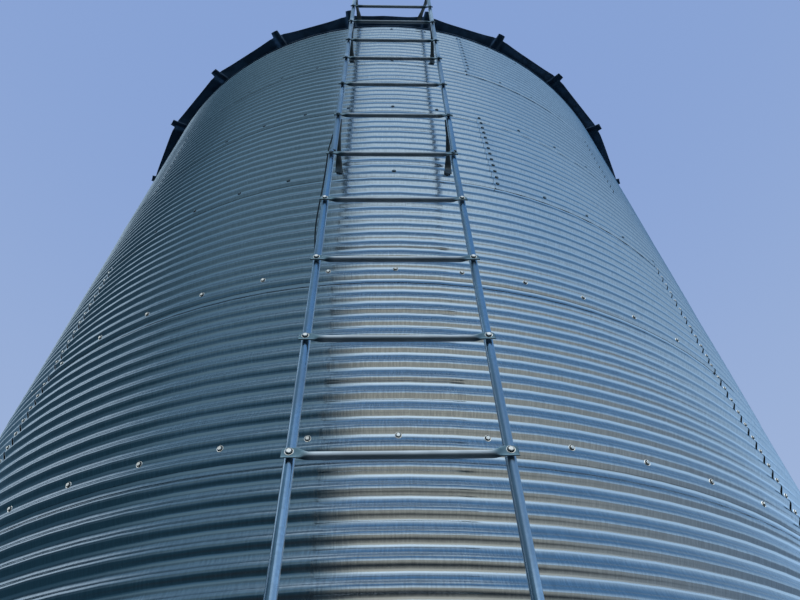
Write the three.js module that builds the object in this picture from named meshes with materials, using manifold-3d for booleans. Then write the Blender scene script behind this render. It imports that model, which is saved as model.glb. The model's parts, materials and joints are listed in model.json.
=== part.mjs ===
// Round corrugated steel grain silo with a ribbed conical roof and an outside ladder.
// Millimetres, +Z up. The ladder stands on the -Y side, and +X is to the right of someone facing it.
// Angles round the silo are counted from the ladder side, -Y, and grow towards +X.

import * as THREE from 'three';
import { mergeVertices } from 'three/addons/utils/BufferGeometryUtils.js';
import Module from 'manifold-3d';

const manifold = await Module();
manifold.setup();

// Wall: rings of corrugated sheet, stacked
const wallRadius = 2262;
const corrugationDepth = 12.7;
const ringHeight = 812.8;
const ringCount = 8;
const wallFacets = 72;
const seatGap = 0.3;

// Angle ring under the lowest wall ring, inside the wall
const baseLeg = 60;
const baseThickness = 6;

// Roof: panels with a raised rib along one edge
const roofSlope = 30;
const ribCount = 24;
const ribPhase = -7.38;
const ribsPerSector = 3;
const panelThickness = 5;
const panelOverhang = 79;
const ribOverhang = 115;
const ribHeight = 120;
const ribBaseWidth = 76;
const ribTopWidth = 46;
const ribBaseWidthAtPeak = 60;
const ribTopWidthAtPeak = 30;
const ribHeightAtPeak = 60;
const eaveLift = 31;
const peakRadius = 310;

// Collar and lid over the filling hole
const collarThickness = 8;
const collarBelowPanels = 20;
const collarHeight = 150;
const collarFacets = 48;
const lidRadius = 350;
const lidRim = 25;
const lidRise = 115;

// Ladder: two lengths of round rail, rungs bolted on their front, struts back to the wall
const ladderStandoff = 190;
const railRadius = 13.5;
const railSides = 12;
const lowerRailFootX = { left: -223, right: 299 };
const lowerRailHeadX = { left: -249, right: 282 };
const upperRailFootX = { left: -242, right: 290 };
const upperRailHeadX = { left: -259, right: 313 };
const railFoot = 300;
const railSplice = 3862;
const railHead = 6950;
const rungHeights = [597, 1004, 1411, 1818, 2225, 2632, 3025, 3421, 3812, 4230, 4646, 5070, 5416, 5828, 6223, 6630];
const rungRadius = 12;
const rungSides = 10;
const tabThickness = 5;
const tabHeight = 30;
const tabPastRail = 30;
const tabInsideRail = 38;
const rungClearOfRail = 8;
const strutRadius = 12;
const strutTabWidth = 36;
const strutHeadTabHeight = 60;
const strutFootTabHeight = 90;
const strutFootDrop = 15;
const strutSeams = [1, 5, 7];
const eaveStrutFootX = { left: -227, right: 245 };
const eaveStrutFootOverhang = 44;
const eaveStrutFootLength = 40;
const eaveStrutTabWidth = 26;

// Cord down the left rail, tied round it at both ends: [height, to the left of the rail, behind the rail]
const cordRadius = 2.75;
const cordTieHeight = 17;
const cordSides = 8;
const cordSteps = 78;
const cordBeside = railRadius + seatGap + cordRadius;
const cordBehind = railRadius + 2 * seatGap + tabThickness + cordRadius;
const cordPastStrut = strutRadius + 0.8 + cordRadius;
const cordRoute = [
  [6906, cordPastStrut, 8],
  [6800, cordPastStrut, cordBehind],
  [5000, cordPastStrut, cordBehind],
  [4150, cordPastStrut, cordBehind],
  [4080, cordPastStrut, 12],
  [4020, cordBeside, 3],
  [3950, cordBeside + 3, 0],
  [3890, cordBeside + 7, 0],
  [3830, cordBeside + 0.5, 0],
  [3720, cordBeside, 0],
  [3560, cordBeside + 1, 0],
  [3380, cordBeside + 5, 0],
  [3240, cordBeside + 5, 0],
  [3140, 16, 11],
  [3040, 7, 17],
  [2850, 5, 16.5],
  [2640, 8, 16.5],
  [2540, 13, 13],
  [2400, 13, 13],
  [2280, 11, 14.5],
  [2180, 6, 17],
  [1700, 5, 16.5],
  [1320, 7, 17],
  [1246, 16, 11],
];

const degrees = THREE.MathUtils.degToRad;
const wallHeight = ringCount * ringHeight;
const roofTangent = Math.tan(degrees(roofSlope));
const ribStep = 360 / ribCount;
const ladderY = -(wallRadius + ladderStandoff);

const silo = new THREE.Group();

const sheetSteel = new THREE.MeshStandardMaterial({ color: 0x9fb0bf, roughness: 0.38, metalness: 0.9 });
const roofSteel = new THREE.MeshStandardMaterial({ color: 0x8c9aa8, roughness: 0.45, metalness: 0.85 });
const tubeSteel = new THREE.MeshStandardMaterial({ color: 0x7f8d9a, roughness: 0.5, metalness: 0.8 });
const angleSteel = new THREE.MeshStandardMaterial({ color: 0x88939e, roughness: 0.55, metalness: 0.8 });
const cordFibre = new THREE.MeshStandardMaterial({ color: 0x1c2224, roughness: 0.8, metalness: 0 });

// A closed mesh whose faces point out, with its shared corners merged
function closedSolid(geometry) {
  const bare = geometry.clone();
  bare.deleteAttribute('normal');
  bare.deleteAttribute('uv');
  const merged = mergeVertices(bare, 1e-3);
  const place = merged.getAttribute('position');
  const corners = merged.getIndex();
  const a = new THREE.Vector3();
  const b = new THREE.Vector3();
  const c = new THREE.Vector3();
  const kept = [];
  let volume = 0;
  for (let i = 0; i < corners.count; i += 3) {
    const face = [corners.getX(i), corners.getX(i + 1), corners.getX(i + 2)];
    if (new Set(face).size < 3) continue;
    a.fromBufferAttribute(place, face[0]);
    b.fromBufferAttribute(place, face[1]);
    c.fromBufferAttribute(place, face[2]);
    volume += a.dot(b.cross(c));
    kept.push(face);
  }
  const outward = volume > 0 ? kept : kept.map((face) => [face[0], face[2], face[1]]);
  merged.setIndex(outward.flat());
  return merged;
}

function addPiece(name, geometry, material) {
  const solid = closedSolid(geometry);
  solid.computeVertexNormals();
  const mesh = new THREE.Mesh(solid, material);
  mesh.name = name;
  silo.add(mesh);
}

// Joins overlapping closed shapes into one
function fused(geometries) {
  const parts = geometries.map((geometry) => {
    const solid = closedSolid(geometry);
    return new manifold.Manifold(new manifold.Mesh({
      numProp: 3,
      vertProperties: new Float32Array(solid.getAttribute('position').array),
      triVerts: new Uint32Array(solid.getIndex().array),
    }));
  });
  const joined = parts.reduce((whole, part) => whole.add(part)).getMesh();
  const geometry = new THREE.BufferGeometry();
  geometry.setAttribute('position', new THREE.BufferAttribute(joined.vertProperties, 3));
  geometry.setIndex(new THREE.BufferAttribute(joined.triVerts, 1));
  return geometry;
}

// A ring turned round the silo's axis from a closed outline of [radius, height] points
function turned(outline, facets, startAngle = 0) {
  const points = outline.map(([radius, height]) => new THREE.Vector2(radius, height));
  const geometry = new THREE.LatheGeometry(points, facets, degrees(startAngle));
  return geometry.rotateX(Math.PI / 2);
}

// A round bar from one point to another
function bar(from, to, radius, sides) {
  const along = new THREE.Vector3().subVectors(to, from);
  const geometry = new THREE.CylinderGeometry(radius, radius, along.length(), sides);
  const turn = new THREE.Quaternion().setFromUnitVectors(new THREE.Vector3(0, 1, 0), along.clone().normalize());
  const middle = new THREE.Vector3().addVectors(from, to).multiplyScalar(0.5);
  return geometry.applyQuaternion(turn).translate(middle.x, middle.y, middle.z);
}

// Unit vectors out from the axis and round it at an angle from the ladder side
function outwardAt(angle) {
  return new THREE.Vector3(Math.sin(degrees(angle)), -Math.cos(degrees(angle)), 0);
}

function roundAt(angle) {
  return new THREE.Vector3(Math.cos(degrees(angle)), Math.sin(degrees(angle)), 0);
}

function wallRings() {
  const inner = wallRadius - corrugationDepth;
  for (let ring = 0; ring < ringCount; ring += 1) {
    const low = ring * ringHeight;
    const high = low + ringHeight - seatGap;
    const outline = [[inner, low], [wallRadius, low], [wallRadius, high], [inner, high], [inner, low]];
    addPiece(`wall_ring_${ring + 1}`, turned(outline, wallFacets), sheetSteel);
  }
}

function baseRing() {
  const outer = wallRadius - corrugationDepth - seatGap;
  const inner = outer - baseLeg;
  const outline = [
    [inner, 0],
    [outer, 0],
    [outer, baseLeg],
    [outer - baseThickness, baseLeg],
    [outer - baseThickness, baseThickness],
    [inner, baseThickness],
    [inner, 0],
  ];
  addPiece('base_ring', turned(outline, wallFacets), angleSteel);
}

// Height of the panels' underside at a distance from the axis, measured along a rib
function panelUnderside(radius) {
  return wallHeight + eaveLift + (wallRadius - radius) * roofTangent;
}

// Distance from the axis to the middle of a flat panel, level with a point beside its rib
function midwayDistance(radius, ribWidth) {
  const half = degrees(ribStep / 2);
  return radius * Math.cos(half) + (ribWidth / 2) * Math.sin(half);
}

// A flat panel's slope, and the height of its underside at a distance from the axis
const panelEdge = wallRadius + panelOverhang;
const panelEdgeDistance = midwayDistance(panelEdge, ribBaseWidth);
const panelRun = panelEdgeDistance - midwayDistance(peakRadius, ribBaseWidthAtPeak);
const panelSlope = Math.atan(((panelEdge - peakRadius) * roofTangent) / panelRun);

function panelUndersideMidway(distance) {
  return panelUnderside(panelEdge) + (panelEdgeDistance - distance) * Math.tan(panelSlope);
}

// Height of its upper face, which starts a sheet's thickness further from the rib
function panelTopMidway(distance) {
  const shift = panelThickness * Math.sin(degrees(ribStep / 2));
  return panelUndersideMidway(distance - shift) + panelThickness;
}

function eaveRing() {
  const inner = wallRadius - corrugationDepth;
  const outline = [
    [inner, wallHeight],
    [wallRadius, wallHeight],
    [wallRadius, panelUndersideMidway(wallRadius) - seatGap],
    [inner, panelUndersideMidway(inner) - seatGap],
    [inner, wallHeight],
  ];
  addPiece('eave_ring', turned(outline, wallFacets), angleSteel);
}

// Corners of the folded sheet at one rib: half widths and lifts at the eave and the peak, and reach.
// The sheet's outer face stands off to the left or right of the rib as well as above it.
function ribColumns() {
  const tip = wallRadius + ribOverhang;
  const base = { half: [ribBaseWidth / 2, ribBaseWidthAtPeak / 2], lift: [0, 0], reach: panelEdge };
  const top = { half: [ribTopWidth / 2, ribTopWidthAtPeak / 2], lift: [ribHeight, ribHeightAtPeak], reach: tip };
  return [
    { ...base, way: -1 },
    { ...top, way: -1 },
    { ...top, way: 1 },
    { ...base, way: 1 },
  ];
}

// One sector of roof: flat panels and raised hollow ribs, folded from sheet of even thickness
function roofSector(firstRib) {
  const angleOf = (rib) => ribPhase + rib * ribStep;
  const rib = ribColumns();
  const start = rib[3];
  const columns = [{
    ...start,
    angle: angleOf(firstRib - 1),
    half: [start.half[0] + seatGap, start.half[1] + seatGap],
  }];
  for (let k = 0; k < ribsPerSector; k += 1) {
    rib.forEach((column) => columns.push({ angle: angleOf(firstRib + k), ...column }));
  }
  const geometry = new THREE.BoxGeometry(1, 1, 1, columns.length - 1, 1, 1);
  const place = geometry.getAttribute('position');
  for (let i = 0; i < place.count; i += 1) {
    const column = columns[Math.round((place.getX(i) + 0.5) * (columns.length - 1))];
    const row = place.getY(i) < 0 ? 0 : 1;
    const top = place.getZ(i) > 0 ? panelThickness : 0;
    const radius = row === 0 ? column.reach : peakRadius;
    const point = outwardAt(column.angle).multiplyScalar(radius);
    point.addScaledVector(roundAt(column.angle), column.way * (column.half[row] + top));
    place.setXYZ(i, point.x, point.y, panelUnderside(radius) + column.lift[row] + top);
  }
  return geometry;
}

function roof() {
  const sectors = ribCount / ribsPerSector;
  for (let sector = 0; sector < sectors; sector += 1) {
    addPiece(`roof_sector_${sector + 1}`, roofSector(sector * ribsPerSector), roofSteel);
  }
}

function peak() {
  const outer = peakRadius - seatGap;
  const inner = outer - collarThickness;
  const low = panelUnderside(peakRadius) - collarBelowPanels;
  const high = low + collarHeight;
  const collar = [[inner, low], [outer, low], [outer, high], [inner, high], [inner, low]];
  addPiece('peak_collar', turned(collar, collarFacets, ribPhase), roofSteel);
  const seat = high + seatGap;
  const lid = [[0, seat], [lidRadius, seat], [lidRadius, seat + lidRim], [0, seat + lidRise]];
  addPiece('peak_lid', turned(lid, collarFacets / 2), roofSteel);
}

// Sideways place of a rail at a height: the upper length starts inside the lower and leans out
function railX(side, height) {
  if (height < railSplice) {
    const share = (height - railFoot) / (railSplice - railFoot);
    return THREE.MathUtils.lerp(lowerRailFootX[side], lowerRailHeadX[side], share);
  }
  const share = (height - railSplice) / (railHead - railSplice);
  return THREE.MathUtils.lerp(upperRailFootX[side], upperRailHeadX[side], share);
}

function railPoint(side, height) {
  return new THREE.Vector3(railX(side, height), ladderY, height);
}

function rails() {
  const above = railSplice + seatGap;
  for (const side of ['left', 'right']) {
    const lowerTop = new THREE.Vector3(lowerRailHeadX[side], ladderY, railSplice);
    const lower = bar(railPoint(side, railFoot), lowerTop, railRadius, railSides);
    const upper = bar(railPoint(side, above), railPoint(side, railHead), railRadius, railSides);
    addPiece(`ladder_rail_lower_${side}`, lower, tubeSteel);
    addPiece(`ladder_rail_upper_${side}`, upper, tubeSteel);
  }
}

// A tube with a flattened end lying on the front of each rail
function rung(height) {
  const y = ladderY - railRadius - seatGap - tabThickness / 2;
  const left = railX('left', height);
  const right = railX('right', height);
  const reach = railRadius + rungClearOfRail;
  const from = new THREE.Vector3(left + reach, y, height);
  const to = new THREE.Vector3(right - reach, y, height);
  const width = tabPastRail + tabInsideRail;
  const tab = () => new THREE.BoxGeometry(width, tabThickness, tabHeight);
  const middle = (tabInsideRail - tabPastRail) / 2;
  return fused([
    bar(from, to, rungRadius, rungSides),
    tab().translate(left + middle, y, height),
    tab().translate(right - middle, y, height),
  ]);
}

// A tube that slants between two flat tabs and stops short, so that its edge ends inside them
function slantedTube(from, fromNormal, to, toNormal) {
  const along = new THREE.Vector3().subVectors(to, from).normalize();
  const shortBy = (normal) => strutRadius * Math.tan(Math.acos(Math.abs(along.dot(normal))));
  const start = from.clone().addScaledVector(along, shortBy(fromNormal));
  const end = to.clone().addScaledVector(along, -shortBy(toNormal));
  return bar(start, end, strutRadius, rungSides);
}

// The back of a rail at a height, where a strut's tab lies
function strutHead(side, height) {
  return new THREE.Vector3(railX(side, height), ladderY + railRadius + seatGap + tabThickness / 2, height);
}

function strutHeadTab(head) {
  const tab = new THREE.BoxGeometry(strutTabWidth / 2 + railRadius, tabThickness, strutHeadTabHeight);
  return tab.translate(head.x, head.y, head.z);
}

// The rung that a strut's head lies behind, counted from the foot
function rungAtStrut(seam) {
  return rungHeights[2 * seam - 1];
}

// A strut from behind a rail down to the wall, flattened at both ends
function wallStrut(side, seam) {
  const head = strutHead(side, rungAtStrut(seam));
  const facet = 360 / wallFacets;
  const headAngle = THREE.MathUtils.radToDeg(Math.asin(head.x / wallRadius));
  const facetAngle = (Math.floor(headAngle / facet) + 0.5) * facet;
  const facetDistance = wallRadius * Math.cos(degrees(facet / 2)) + seatGap + tabThickness / 2;
  const outward = outwardAt(facetAngle);
  const around = roundAt(facetAngle);
  const sideways = (head.x - outward.x * facetDistance) / around.x;
  const foot = outward.clone().multiplyScalar(facetDistance).addScaledVector(around, sideways);
  foot.setZ(seam * ringHeight - strutFootDrop);
  const footTab = new THREE.BoxGeometry(strutTabWidth, tabThickness, strutFootTabHeight);
  footTab.rotateZ(degrees(facetAngle)).translate(foot.x, foot.y, foot.z);
  return fused([slantedTube(head, outwardAt(0), foot, outward), footTab, strutHeadTab(head)]);
}

// The highest strut stands on the flat roof panel just inside its edge
function eaveStrut(side) {
  const head = strutHead(side, rungAtStrut(ringCount));
  const panelAngle = ribPhase + ribStep / 2;
  const outward = outwardAt(panelAngle);
  const distance = wallRadius + eaveStrutFootOverhang;
  const x = eaveStrutFootX[side];
  const foot = new THREE.Vector3(x, (distance - outward.x * x) / outward.y, 0);
  foot.setZ(panelTopMidway(distance) + (seatGap + tabThickness / 2) / Math.cos(panelSlope));
  const footTab = new THREE.BoxGeometry(eaveStrutTabWidth, eaveStrutFootLength, tabThickness);
  footTab.rotateX(panelSlope).rotateZ(degrees(panelAngle)).translate(foot.x, foot.y, foot.z);
  const panelNormal = outward.clone().multiplyScalar(Math.sin(panelSlope)).setZ(Math.cos(panelSlope));
  const tube = slantedTube(head, outwardAt(0), foot, panelNormal);
  return fused([tube, footTab, strutHeadTab(head)]);
}

function ladder() {
  rails();
  rungHeights.forEach((height, k) => addPiece(`ladder_rung_${k + 1}`, rung(height), tubeSteel));
  for (const seam of strutSeams) {
    for (const side of ['left', 'right']) {
      addPiece(`ladder_strut_${seam}_${side}`, wallStrut(side, seam), tubeSteel);
    }
  }
  addPiece('eave_strut_left', eaveStrut('left'), tubeSteel);
  addPiece('eave_strut_right', eaveStrut('right'), tubeSteel);
}

// A ring of cord laid round the left rail in three turns, closed up into one
function cordTie(height) {
  const outer = cordBeside + cordRadius;
  const inner = railRadius + 2 * seatGap;
  const low = -cordTieHeight / 2;
  const high = cordTieHeight / 2;
  const outline = [[inner, low], [outer, low], [outer, high], [inner, high], [inner, low]];
  const center = railPoint('left', height);
  return turned(outline, 3 * cordSides).translate(center.x, center.y, center.z);
}

function cord() {
  const points = cordRoute.map(([height, beside, behind]) => {
    const center = railPoint('left', height);
    return new THREE.Vector3(center.x - beside, center.y + behind, height);
  });
  const section = new THREE.Shape();
  for (let i = 0; i < cordSides; i += 1) {
    const turn = (2 * Math.PI * i) / cordSides;
    const corner = [cordRadius * Math.cos(turn), cordRadius * Math.sin(turn)];
    if (i === 0) section.moveTo(...corner);
    else section.lineTo(...corner);
  }
  const path = new THREE.CatmullRomCurve3(points);
  const tube = new THREE.ExtrudeGeometry(section, { steps: cordSteps, extrudePath: path });
  const ends = [points[0], points[points.length - 1]].map((end) => cordTie(end.z));
  addPiece('ladder_cord', fused([tube, ...ends]), cordFibre);
}

wallRings();
baseRing();
eaveRing();
roof();
peak();
ladder();
cord();

// The origin lies on the ground under the middle of the whole silo with its ladder
const extent = new THREE.Box3().setFromObject(silo);
const middle = extent.getCenter(new THREE.Vector3());
silo.position.set(-middle.x, -middle.y, 0);

export default silo;
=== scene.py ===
# The looks of a round corrugated steel grain silo with a ribbed roof and an outside ladder.
# Metres, +Z up. The ladder stands on the -Y side, and +X is to the right of someone facing it.
# Angles round the silo are in degrees, counted from the ladder side, and grow towards +X.
import json
import math
import random

import bpy
import numpy as np
from mathutils import Matrix, Vector

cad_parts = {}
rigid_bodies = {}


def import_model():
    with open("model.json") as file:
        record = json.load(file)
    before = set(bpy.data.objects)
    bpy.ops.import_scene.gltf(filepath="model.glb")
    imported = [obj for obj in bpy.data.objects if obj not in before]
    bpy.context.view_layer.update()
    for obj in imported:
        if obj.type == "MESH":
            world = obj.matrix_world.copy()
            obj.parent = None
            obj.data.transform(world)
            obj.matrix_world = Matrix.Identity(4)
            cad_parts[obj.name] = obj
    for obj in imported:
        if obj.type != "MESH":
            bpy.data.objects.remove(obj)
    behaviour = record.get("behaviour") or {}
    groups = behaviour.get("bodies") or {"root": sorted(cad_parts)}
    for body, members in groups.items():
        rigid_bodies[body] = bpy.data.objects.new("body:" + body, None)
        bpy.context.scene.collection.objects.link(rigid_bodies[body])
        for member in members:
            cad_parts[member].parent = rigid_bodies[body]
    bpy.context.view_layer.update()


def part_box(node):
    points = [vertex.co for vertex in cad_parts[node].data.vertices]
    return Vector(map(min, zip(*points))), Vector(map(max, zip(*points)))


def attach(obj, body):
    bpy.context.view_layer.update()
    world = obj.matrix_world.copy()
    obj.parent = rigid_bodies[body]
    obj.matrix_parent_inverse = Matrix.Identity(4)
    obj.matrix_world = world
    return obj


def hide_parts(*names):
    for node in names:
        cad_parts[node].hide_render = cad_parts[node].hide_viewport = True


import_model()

# Wall: rings of corrugated sheet, stacked, each lapping outside the one below it
RING_LOW, RING_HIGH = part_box("wall_ring_1")
WALL_RADIUS = (RING_HIGH.x - RING_LOW.x) / 2
AXIS_Y = (RING_HIGH.y + RING_LOW.y) / 2
RING_COUNT = 8
RING_HEIGHT = 0.8128
WAVES_PER_RING = 12
WAVE = RING_HEIGHT / WAVES_PER_RING
WAVE_DEPTH = 0.0127
SHEET = 0.0007
LAP_GAP = 0.0001
SEAM_RISE = 0.0095
TROUGH_BREADTH = 0.28
LAP_BELOW_SEAM = 0.66 * WAVE
LAP_ABOVE_SEAM = 0.35 * WAVE
ROWS_PER_WAVE = 10
SHEET_ANGLE = 81.1
SHEET_STEP = 3.4
SIDE_LAP_ANGLE = 1.3
EDGE_FLARE = 0.0026
EDGE_FLARE_ANGLE = 0.25
DENTS = 0.0006
# Angle of the first lap to the right of the ladder, for each ring from the lowest up
LAP_ANGLES = [40.2, 13.4, 40.2, 40.2, 40.2, 13.4, 40.2, 13.85]
# Finish: how high above the bolts' trough the painted highlight line lies, and the seed of the rings'
# shades
TROUGH_HIGHLIGHT_RISE = 0.0078
RING_SHADE_SEED = 5.5

# Bolts of the wall: in the trough at every seam, and down each lap of two sheets
BOLTS_PER_SEAM = 54
BOLT_PHASE = 0.65
BOLT_RISE = 0.0155
BOLT_SEAT = 0.0014
BOLT_TILT = math.radians(10)
LAP_BOLT_ANGLE = 0.70
DULL_BOLTS_FROM = 5
HEX_ACROSS = 0.0108
HEX_HEIGHT = 0.0042
WASHER_RADIUS = 0.0107
WASHER_HEIGHT = 0.0019
BOLT_SIDES = 12

# Roof: flat panels with a raised rib along one edge. Pairs of sizes are at the eave and at the peak
ROOF_SLOPE = math.radians(30)
RIB_COUNT = 24
RIB_PHASE = -7.38
RIBS_PER_SECTOR = 3
PANEL_EDGE = WALL_RADIUS + 0.079
RIB_TIP = WALL_RADIUS + 0.1148
EAVE_LIFT = 0.031
PEAK_RADIUS = 0.310
PANEL_THICKNESS = 0.005
ROOF_SHEET = 0.0018
WALL_TOP = RING_COUNT * RING_HEIGHT
RIB_STEP = 360 / RIB_COUNT
RIB_HALF_FOOT = (0.038, 0.030)
RIB_HALF_TOP = (0.023, 0.015)
RIB_HEIGHT = (0.058, 0.050)
RIB_FOOT_FILLET = 0.026
RIB_TOP_ROUND = 0.020
CORNER_STEPS = 4
RIB_TOP_POINTS = CORNER_STEPS + 2
SLOPE_ROWS = 18
PANEL_COLUMNS = 12
# The panels turn up beside each rib at the eave, and the one over the ladder bows up between its ribs
FLARE_RISE = 0.022
FLARE_REACH = 0.17
FLARE_LENGTH = 0.35
LADDER_PANEL = 0
LADDER_BOW = 0.030
LADDER_BOW_MIDDLE = 0.42
# Lid of the filling hole, with waves pressed between crown and skirt
LID_TIP = 0.004
LID_CROWN = 0.03
LID_EDGE = 0.003
LID_SKIRT = 0.025
LID_SHEET = 0.012
LID_ROWS = 30
LID_WAVE_DEPTH = 0.0025
LID_WAVE_TURN = 1.3

# Ladder: rails of two lengths, rungs bolted on their front, and struts back to the wall and the eave
SIDES = ("left", "right")
LADDER_Y = AXIS_Y - WALL_RADIUS - 0.190
LADDER_MIDDLE = 0.027
RAIL_RADIUS = 0.0135
RAIL_WALL = 0.0025
# Pairs are at a rail's foot and at its head
LOWER_RAIL_X = {"left": (-0.223, -0.249), "right": (0.299, 0.282)}
UPPER_RAIL_X = {"left": (-0.242, -0.259), "right": (0.290, 0.313)}
RAIL_FOOT = 0.300
RAIL_SPLICE = 3.862
RAIL_HEAD = 6.950
RUNG_HEIGHTS = [
    0.597, 1.004, 1.411, 1.818, 2.225, 2.632, 3.025, 3.421,
    3.812, 4.230, 4.646, 5.070, 5.416, 5.828, 6.223, 6.630,
]
SEAT_GAP = 0.0003
TUBE_RADIUS = 0.012
TAB_THICKNESS = 0.005
RUNG_RADIUS = 0.0100
RUNG_TAB_HALF = 0.0162
RUNG_TAB_LIFT = 0.001
RUNG_LIP = 0.0062
RUNG_BOLT_RISE = 0.0085
RUNG_PAST_RAIL = 0.019
RUNG_BOLT_SIZE = 1.08
DULL_RUNGS_FROM = 8
STRUT_TAB_HALF = 0.0165
STRUT_SEAMS = (1, 5, 7)
STRUT_FOOT_RISE = 0.028
STRUT_FOOT_TAB = 0.056
STRUT_HEAD_TAB = 0.060
STRUT_BEND = 0.018
EAVE_STRUT_FOOT_X = {"left": -0.227, "right": 0.245}
EAVE_STRUT_OVERHANG = 0.044

# Cord down the left rail, tied round it at both ends
CORD_RADIUS = 0.00275
CORD_SIDES = 8
CORD_SECTIONS = 420
CORD_TIE_TURNS = 3
CORD_TIE_PITCH = 2.06 * CORD_RADIUS
CORD_BESIDE = RAIL_RADIUS + SEAT_GAP + CORD_RADIUS
CORD_BEHIND = RAIL_RADIUS + 2 * SEAT_GAP + TAB_THICKNESS + CORD_RADIUS
CORD_PAST_STRUT = TUBE_RADIUS + 0.0008 + CORD_RADIUS
# Height, distance to the left of the rail, distance behind it
CORD_ROUTE = [
    (6.906, CORD_PAST_STRUT, 0.008), (6.800, CORD_PAST_STRUT, CORD_BEHIND),
    (5.000, CORD_PAST_STRUT, CORD_BEHIND), (4.150, CORD_PAST_STRUT, CORD_BEHIND),
    (4.080, CORD_PAST_STRUT, 0.012), (4.020, CORD_BESIDE, 0.003), (3.950, CORD_BESIDE + 0.003, 0),
    (3.890, CORD_BESIDE + 0.007, 0), (3.830, CORD_BESIDE + 0.0005, 0), (3.720, CORD_BESIDE, 0),
    (3.560, CORD_BESIDE + 0.001, 0), (3.380, CORD_BESIDE + 0.005, 0), (3.240, CORD_BESIDE + 0.005, 0),
    (3.140, 0.016, 0.011), (3.040, 0.007, 0.017), (2.850, 0.005, 0.0165), (2.640, 0.008, 0.0165),
    (2.540, 0.013, 0.013), (2.400, 0.013, 0.013), (2.280, 0.011, 0.0145), (2.180, 0.006, 0.017),
    (1.700, 0.005, 0.0165), (1.320, 0.007, 0.017), (1.246, 0.016, 0.011),
]

# Camera, fitted to the photo: it stands on the ladder side and looks up
CAMERA_PLACE = Vector((0.0, AXIS_Y - WALL_RADIUS - 1.38597, 1.34541))
CAMERA_PITCH = math.radians(48.932)
CAMERA_ROLL = math.radians(-2.326)
CAMERA_YAW = math.radians(2.850)
SENSOR_WIDTH = 36
LENS = 27.352
SHIFT_X = -0.0113
SHIFT_Y = 0.0278

# Floor, and the backdrop that the camera sees
FLOOR_RADIUS = 24.0
FLOOR_DROP = 0.002
BACKDROP_LOW = (0.36, 0.47, 0.70, 1)
BACKDROP_HIGH = (0.24, 0.36, 0.66, 1)

# Soft dome of light: its colours by height in front, to the right and at the back, and on its dark left
DOME_HIGH = (0.085, 0.20, 0.38, 1)
DOME_LOW = {"front": (0.52, 0.68, 0.82, 1), "right": (0.31, 0.47, 0.66, 1), "back": (0.36, 0.58, 0.88, 1)}
DOME_BELOW = {"front": (0.31, 0.33, 0.31, 1), "right": (0.13, 0.20, 0.29, 1)}
DOME_FOOT = (0.015, 0.025, 0.035, 1)
DOME_FAR = (0.33, 0.46, 0.60, 1)
DOME_ZENITH = (0.38, 0.50, 0.62, 1)
LEFT_BELOW = {"near": (0.045, 0.10, 0.16, 1), "side": (0.012, 0.038, 0.062, 1)}
LEFT_LOW = {"near": (0.075, 0.135, 0.185, 1), "side": (0.02, 0.05, 0.08, 1), "back": (0.10, 0.19, 0.29, 1)}
LEFT_GAP = {"side": (0.09, 0.175, 0.265, 1), "back": (0.40, 0.53, 0.66, 1)}
LEFT_HIGH = {"near": (0.14, 0.235, 0.33, 1), "side": (0.10, 0.185, 0.28, 1), "back": (0.18, 0.30, 0.45, 1)}

# Lamps, both from the left: one for the rungs and the bright bolts, one for the floor
LAMP_SIDE = -45
LAMP_COLOR = (1.0, 0.99, 0.94)
LADDER_LAMP_STRENGTH = 13.0
LADDER_LAMP_RISE = math.radians(54)
LADDER_LAMP_BREADTH = math.radians(15)
LAMPLIT_FINISHES = ("galvanised_rung_tube", "zinc_plated_bolt")
FLOOR_LAMP_STRENGTH = 1.3
FLOOR_LAMP_RISE = math.radians(62)
FLOOR_LAMP_BREADTH = math.radians(50)

# Directions
ACROSS = Vector((1, 0, 0))
AHEAD = Vector((0, -1, 0))
UP = Vector((0, 0, 1))


def make_camera():
    data = bpy.data.cameras.new("camera")
    data.sensor_width = SENSOR_WIDTH
    data.lens = LENS
    data.shift_x = SHIFT_X
    data.shift_y = SHIFT_Y
    data.clip_start = 0.05
    data.clip_end = 200
    camera = bpy.data.objects.new("camera", data)
    bpy.context.scene.collection.objects.link(camera)
    flat = math.cos(CAMERA_PITCH)
    forward = Vector((math.sin(CAMERA_YAW) * flat, math.cos(CAMERA_YAW) * flat, math.sin(CAMERA_PITCH)))
    right = Vector((math.cos(CAMERA_YAW), -math.sin(CAMERA_YAW), 0))
    up = right.cross(forward)
    rolled_right = right * math.cos(CAMERA_ROLL) + up * math.sin(CAMERA_ROLL)
    rolled_up = up * math.cos(CAMERA_ROLL) - right * math.sin(CAMERA_ROLL)
    turn = Matrix((rolled_right, rolled_up, -forward)).transposed()
    camera.matrix_world = Matrix.Translation(CAMERA_PLACE) @ turn.to_4x4()
    bpy.context.scene.camera = camera


# Places

def between(pair, share):
    """A size at a share of the way from the pair's first to its second."""
    return pair[0] + (pair[1] - pair[0]) * share


def outward_at(angle):
    return Vector((math.sin(math.radians(angle)), -math.cos(math.radians(angle)), 0))


def round_at(angle):
    return Vector((math.cos(math.radians(angle)), math.sin(math.radians(angle)), 0))


def on_silo(angle, radius, height):
    """Points at angles, distances from the axis and heights, which are numbers or arrays of one shape."""
    turn = np.radians(angle)
    places = np.broadcast_arrays(radius * np.sin(turn), AXIS_Y - radius * np.cos(turn), height)
    return np.stack(places, axis=-1)


# Meshes are pairs of a point array and a list of faces, until they become pieces

def grid_faces(rows, columns, first=0, closed=False):
    """Quads over a grid of points, row after row. A closed grid joins its last column to its first."""
    spans = columns if closed else columns - 1
    row, column = np.meshgrid(np.arange(rows - 1), np.arange(spans), indexing="ij")
    here = row * columns + column
    beside = row * columns + (column + 1) % columns
    corners = [here, beside, beside + columns, here + columns]
    return (np.stack(corners, axis=-1).reshape(-1, 4) + first).tolist()


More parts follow.
